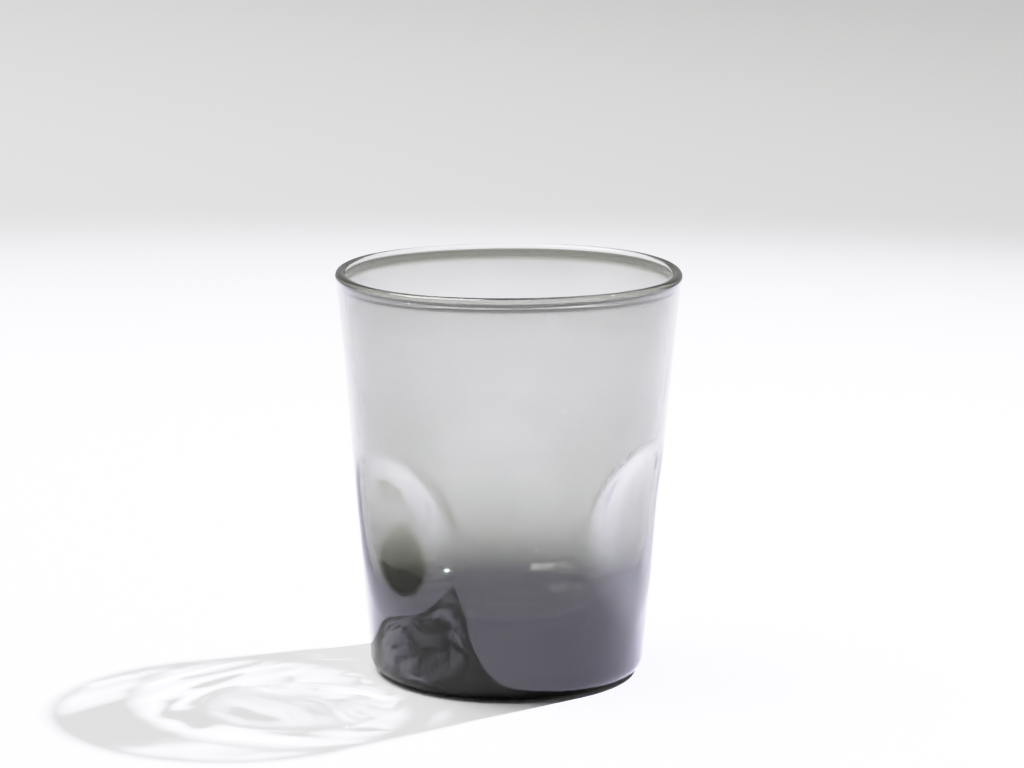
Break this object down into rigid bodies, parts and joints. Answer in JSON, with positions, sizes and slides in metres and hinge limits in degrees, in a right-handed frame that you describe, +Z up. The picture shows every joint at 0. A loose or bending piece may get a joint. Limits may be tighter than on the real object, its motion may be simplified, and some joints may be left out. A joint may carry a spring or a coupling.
{
  "type": "whiskey tumbler",
  "caption": "Tapered hand-blown smoke-grey glass tumbler with a thick base, a rounded rim bead and pressed-in finger dimples.",
  "frame": {"origin": "centre of the foot, on the plane that the tumbler stands on", "axes": "+Z up along the tumbler's axis towards the rim; -Y is the front, midway between two dimples; +X is to the right seen from the front"},
  "size_m": [0.0876, 0.0876, 0.103],
  "materials": {
    "smoke_glass": "fire-polished clear glass, tinted smoke grey with an amethyst cast where it is thick"
  },
  "bodies": {
    "root": {"tumbler": "smoke_glass"}
  },
  "joints": []
}
